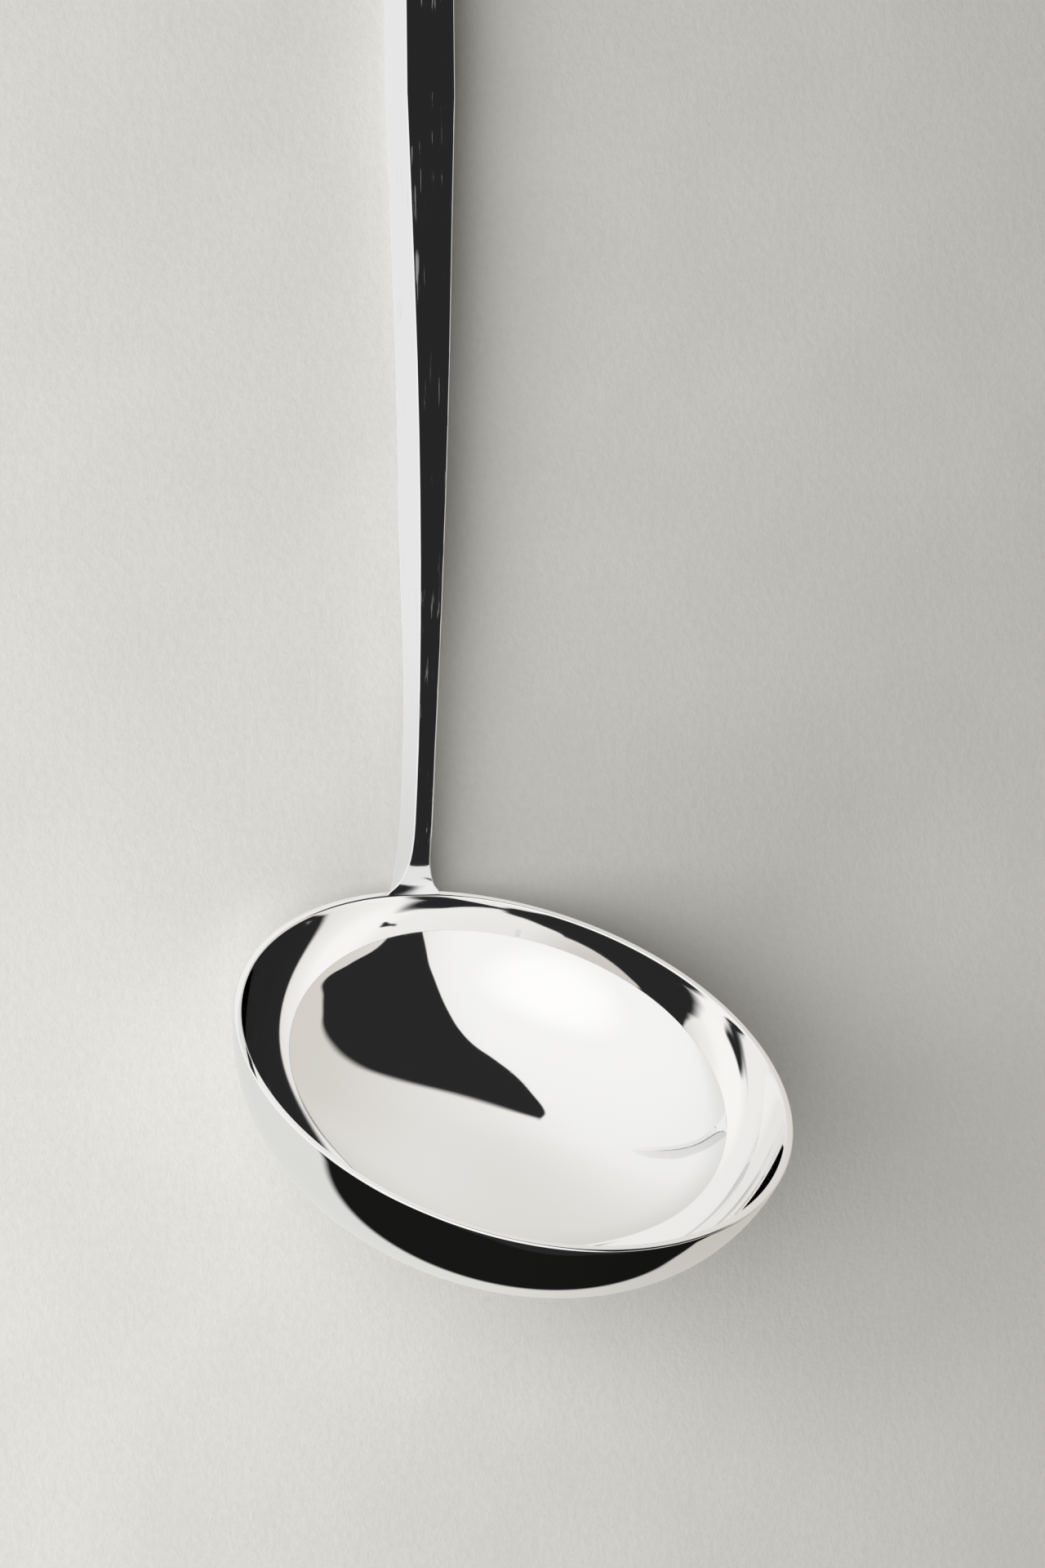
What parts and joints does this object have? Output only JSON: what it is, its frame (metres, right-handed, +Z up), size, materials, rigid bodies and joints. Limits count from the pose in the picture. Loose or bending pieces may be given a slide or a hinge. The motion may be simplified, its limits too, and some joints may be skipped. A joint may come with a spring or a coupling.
{
  "type": "soup ladle",
  "caption": "Polished steel soup ladle: a deep round bowl with a flat lip on a slim, tapering square bar handle that leans back from the rim.",
  "frame": {"origin": "on the table under the middle of the ladle's box, with the ladle lying on its back on the heel of its handle and the handle's tip", "axes": "+Z up from the table, +X from the bowl towards the tip of the handle, the X-Z plane is the ladle's plane of symmetry"},
  "size_m": [0.2744, 0.0918, 0.0811],
  "materials": {
    "polished_bowl": "mirror-polished stainless steel, fine wiping marks",
    "polished_handle": "mirror-polished stainless steel, fine scratches",
    "braze_metal": "polished silver-coloured filler metal"
  },
  "bodies": {
    "root": {"bowl": "polished_bowl", "handle": "polished_handle", "braze_seam": "braze_metal"}
  },
  "joints": []
}
